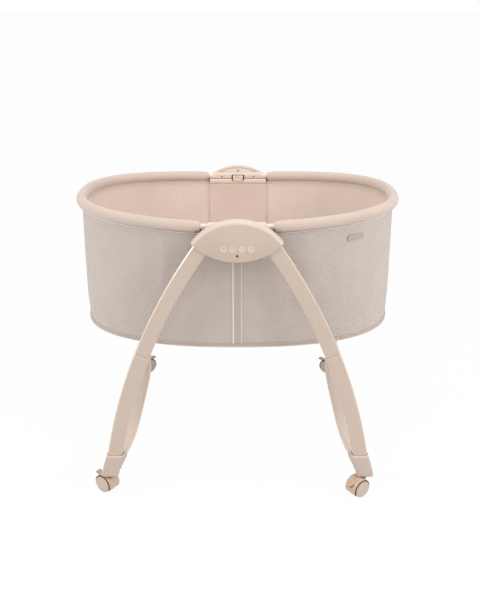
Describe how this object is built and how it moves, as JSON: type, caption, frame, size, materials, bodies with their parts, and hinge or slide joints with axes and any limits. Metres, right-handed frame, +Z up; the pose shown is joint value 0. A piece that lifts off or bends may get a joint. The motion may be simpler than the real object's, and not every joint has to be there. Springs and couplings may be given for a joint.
{
  "type": "electric baby cradle",
  "caption": "Oval fabric basket with a padded rim, swinging between lens-shaped motor hubs on a curved-leg stand with swivelling braked casters.",
  "frame": {"origin": "on the floor, below the middle of the basket, midway between the four casters", "axes": "+X along the length of the basket to the right, +Y from the front hub to the rear hub, +Z up"},
  "size_m": [0.9266, 0.8067, 0.8023],
  "materials": {
    "shell_plastic": "satin moulded plastic, warm beige",
    "light_plastic": "satin moulded plastic, pale beige",
    "leg_paint": "smooth satin powder coat, beige",
    "tube_paint": "smooth satin powder coat, pale beige",
    "pad_fabric": "soft knitted sleeve over foam",
    "mesh_fabric": "open spacer mesh in a diamond pattern",
    "panel_fabric": "smooth woven panel",
    "hem_fabric": "stitched piping band",
    "mattress_fabric": "soft quilted cover over foam",
    "board_wood": "plain board",
    "hood_plastic": "satin moulded plastic, beige",
    "wheel_plastic": "moulded tread, beige",
    "steel": "plain steel",
    "dark_plastic": "dark moulded plastic",
    "board_green": "circuit board",
    "gear_plastic": "plain gear resin"
  },
  "bodies": {
    "stand": {"front_hub_cover": "shell_plastic", "front_hub_back": "light_plastic", "rear_hub_cover": "shell_plastic", "rear_hub_back": "light_plastic", "upper_leg_front_left": "leg_paint", "lower_leg_front_left": "leg_paint", "foot_socket_front_left": "shell_plastic", "upper_leg_front_right": "leg_paint", "lower_leg_front_right": "leg_paint", "foot_socket_front_right": "shell_plastic", "upper_leg_rear_left": "leg_paint", "lower_leg_rear_left": "leg_paint", "foot_socket_rear_left": "shell_plastic", "upper_leg_rear_right": "leg_paint", "lower_leg_rear_right": "leg_paint", "foot_socket_rear_right": "shell_plastic", "side_bar_left": "leg_paint", "side_bar_right": "leg_paint", "swing_bearing_front": "steel", "swing_bearing_rear": "steel", "swing_motor": "steel", "control_board": "board_green", "ir_window": "dark_plastic", "speaker": "dark_plastic", "power_jack": "dark_plastic"},
    "basket": {"rim_tube_left": "tube_paint", "rim_tube_right": "tube_paint", "rim_pad_left": "pad_fabric", "rim_pad_right": "pad_fabric", "bracket_front": "light_plastic", "bracket_cover_front": "light_plastic", "swing_shaft_front": "steel", "centre_panel_front": "panel_fabric", "bracket_rear": "light_plastic", "bracket_cover_rear": "light_plastic", "swing_shaft_rear": "steel", "centre_panel_rear": "panel_fabric", "sector_gear": "gear_plastic", "basket_wall": "mesh_fabric", "hem_band": "hem_fabric", "floor_board": "board_wood", "mattress": "mattress_fabric", "placket": "hem_fabric"},
    "pinion": {"motor_pinion": "steel"},
    "latch_front": {"release_latch_front": "light_plastic"},
    "latch_rear": {"release_latch_rear": "light_plastic"},
    "caster_front_left": {"caster_hood_front_left": "hood_plastic"},
    "wheels_front_left": {"caster_wheels_front_left": "wheel_plastic"},
    "pedal_front_left": {"brake_pedal_front_left": "hood_plastic"},
    "caster_front_right": {"caster_hood_front_right": "hood_plastic"},
    "wheels_front_right": {"caster_wheels_front_right": "wheel_plastic"},
    "pedal_front_right": {"brake_pedal_front_right": "hood_plastic"},
    "caster_rear_left": {"caster_hood_rear_left": "hood_plastic"},
    "wheels_rear_left": {"caster_wheels_rear_left": "wheel_plastic"},
    "pedal_rear_left": {"brake_pedal_rear_left": "hood_plastic"},
    "caster_rear_right": {"caster_hood_rear_right": "hood_plastic"},
    "wheels_rear_right": {"caster_wheels_rear_right": "wheel_plastic"},
    "pedal_rear_right": {"brake_pedal_rear_right": "hood_plastic"}
  },
  "joints": [
    {"name": "basket_swing", "type": "hinge", "parent": "stand", "child": "basket", "pos_m": [0, 0, 0.737], "axis": [0, 1, 0], "range_deg": [-8, 8]},
    {"name": "pinion_spin", "type": "hinge", "parent": "stand", "child": "pinion", "pos_m": [0, -0.3085, 0.7791], "axis": [0, 1, 0], "range_deg": [-45, 45]},
    {"name": "latch_front_press", "type": "hinge", "parent": "basket", "child": "latch_front", "pos_m": [0, -0.2712, 0.7585], "axis": [1, 0, 0], "range_deg": [0, 8], "stiffness_Nm_per_rad": 0.3},
    {"name": "latch_rear_press", "type": "hinge", "parent": "basket", "child": "latch_rear", "pos_m": [0, 0.2712, 0.7585], "axis": [-1, 0, 0], "range_deg": [0, 8], "stiffness_Nm_per_rad": 0.3},
    {"name": "caster_front_left_swivel", "type": "hinge", "parent": "stand", "child": "caster_front_left", "pos_m": [-0.36077, -0.358, 0.0555], "axis": [0, 0, 1], "continuous": true},
    {"name": "caster_front_left_roll", "type": "hinge", "parent": "caster_front_left", "child": "wheels_front_left", "pos_m": [-0.37715, -0.34653, 0.02469], "axis": [-0.5736, -0.8192, 0], "continuous": true},
    {"name": "caster_front_left_brake", "type": "hinge", "parent": "caster_front_left", "child": "pedal_front_left", "pos_m": [-0.39026, -0.33735, 0.0355], "axis": [-0.5736, -0.8192, 0], "range_deg": [0, 15]},
    {"name": "caster_front_right_swivel", "type": "hinge", "parent": "stand", "child": "caster_front_right", "pos_m": [0.36077, -0.358, 0.0555], "axis": [0, 0, 1], "continuous": true},
    {"name": "caster_front_right_roll", "type": "hinge", "parent": "caster_front_right", "child": "wheels_front_right", "pos_m": [0.34439, -0.36947, 0.02469], "axis": [0.5736, -0.8192, 0], "continuous": true},
    {"name": "caster_front_right_brake", "type": "hinge", "parent": "caster_front_right", "child": "pedal_front_right", "pos_m": [0.33128, -0.37865, 0.0355], "axis": [0.5736, -0.8192, 0], "range_deg": [0, 15]},
    {"name": "caster_rear_left_swivel", "type": "hinge", "parent": "stand", "child": "caster_rear_left", "pos_m": [-0.36077, 0.358, 0.0555], "axis": [0, 0, 1], "continuous": true},
    {"name": "caster_rear_left_roll", "type": "hinge", "parent": "caster_rear_left", "child": "wheels_rear_left", "pos_m": [-0.34663, 0.37214, 0.02469], "axis": [-0.7071, 0.7071, 0], "continuous": true},
    {"name": "caster_rear_left_brake", "type": "hinge", "parent": "caster_rear_left", "child": "pedal_rear_left", "pos_m": [-0.33531, 0.38346, 0.0355], "axis": [-0.7071, 0.7071, 0], "range_deg": [0, 15]},
    {"name": "caster_rear_right_swivel", "type": "hinge", "parent": "stand", "child": "caster_rear_right", "pos_m": [0.36077, 0.358, 0.0555], "axis": [0, 0, 1], "continuous": true},
    {"name": "caster_rear_right_roll", "type": "hinge", "parent": "caster_rear_right", "child": "wheels_rear_right", "pos_m": [0.34345, 0.368, 0.02469], "axis": [-0.5, -0.866, 0], "continuous": true},
    {"name": "caster_rear_right_brake", "type": "hinge", "parent": "caster_rear_right", "child": "pedal_rear_right", "pos_m": [0.32959, 0.376, 0.0355], "axis": [-0.5, -0.866, 0], "range_deg": [0, 15]}
  ],
  "couplings": [
    {"joint": "pinion_spin", "follows": "basket_swing", "ratio": -5}
  ]
}
